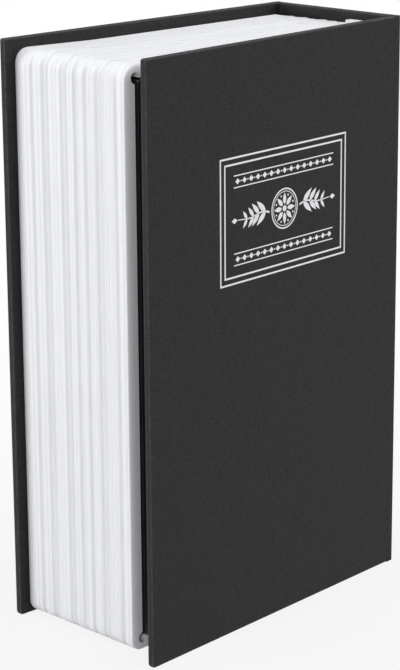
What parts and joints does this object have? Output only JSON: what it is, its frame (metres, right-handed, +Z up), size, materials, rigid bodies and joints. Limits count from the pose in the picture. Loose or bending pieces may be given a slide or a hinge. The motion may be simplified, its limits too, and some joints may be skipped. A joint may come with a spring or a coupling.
{
  "type": "book safe",
  "caption": "Book-shaped diversion safe: a hardback case and moulded page block hiding a steel box with a hinged lid and a cam lock.",
  "frame": {"origin": "middle of the floor that the book covers as it stands on its tail, front cover ajar", "axes": "+Z up from tail to head, +X towards the spine, +Y out of the back cover"},
  "size_m": [0.118, 0.0618, 0.18],
  "materials": {
    "covering_paper": "black covering paper with a fine linen emboss, satin",
    "greyboard": "grey bookbinding board",
    "lining_paper": "black endpaper, matt",
    "page_plastic": "white moulded plastic, satin",
    "black_steel": "black powder coat on steel sheet",
    "zinc_steel": "bright zinc plate on steel",
    "lock_chrome": "chrome plate on the lock's housing",
    "lock_brass": "bare brass plug",
    "silver_foil": "silver foil stamped on the front cover"
  },
  "bodies": {
    "back": {"back_covering": "covering_paper", "back_board": "greyboard", "back_lining": "lining_paper", "page_surround": "page_plastic", "steel_box": "black_steel", "latch_plate": "zinc_steel", "hinge_pin_head": "zinc_steel", "hinge_pin_tail": "zinc_steel", "box_rivet_1": "zinc_steel", "surround_screw_1": "zinc_steel", "box_rivet_2": "zinc_steel", "surround_screw_2": "zinc_steel", "box_rivet_3": "zinc_steel", "surround_screw_3": "zinc_steel", "box_rivet_4": "zinc_steel", "surround_screw_4": "zinc_steel", "latch_rivet_1": "zinc_steel", "latch_rivet_2": "zinc_steel"},
    "spine": {"spine_covering": "covering_paper", "spine_board": "greyboard", "spine_lining": "lining_paper"},
    "front_cover": {"front_covering": "covering_paper", "front_board": "greyboard", "front_lining": "lining_paper"},
    "lid": {"steel_lid": "black_steel", "lock_housing": "lock_chrome", "lock_washer": "zinc_steel", "lock_nut": "zinc_steel"},
    "plug": {"lock_plug": "lock_brass", "lock_cam": "zinc_steel", "cam_screw": "zinc_steel"}
  },
  "joints": [
    {"name": "spine_hinge", "type": "hinge", "parent": "back", "child": "spine", "pos_m": [0.059, 0.03089, 0], "axis": [0, 0, 1], "range_deg": [0, 85]},
    {"name": "cover_hinge", "type": "hinge", "parent": "spine", "child": "front_cover", "pos_m": [0.059, -0.02211, 0], "axis": [0, 0, 1], "range_deg": [0, 170]},
    {"name": "lid_hinge", "type": "hinge", "parent": "back", "child": "lid", "pos_m": [0.0498, -0.01531, 0], "axis": [0, 0, 1], "range_deg": [0, 95.2]},
    {"name": "plug_turn", "type": "hinge", "parent": "lid", "child": "plug", "pos_m": [-0.0336, -0.01951, 0.0888], "axis": [0, -1, 0], "range_deg": [0, 90]}
  ],
  "couplings": [
    {"joint": "lid_hinge", "follows": "cover_hinge", "ratio": 0.56}
  ]
}
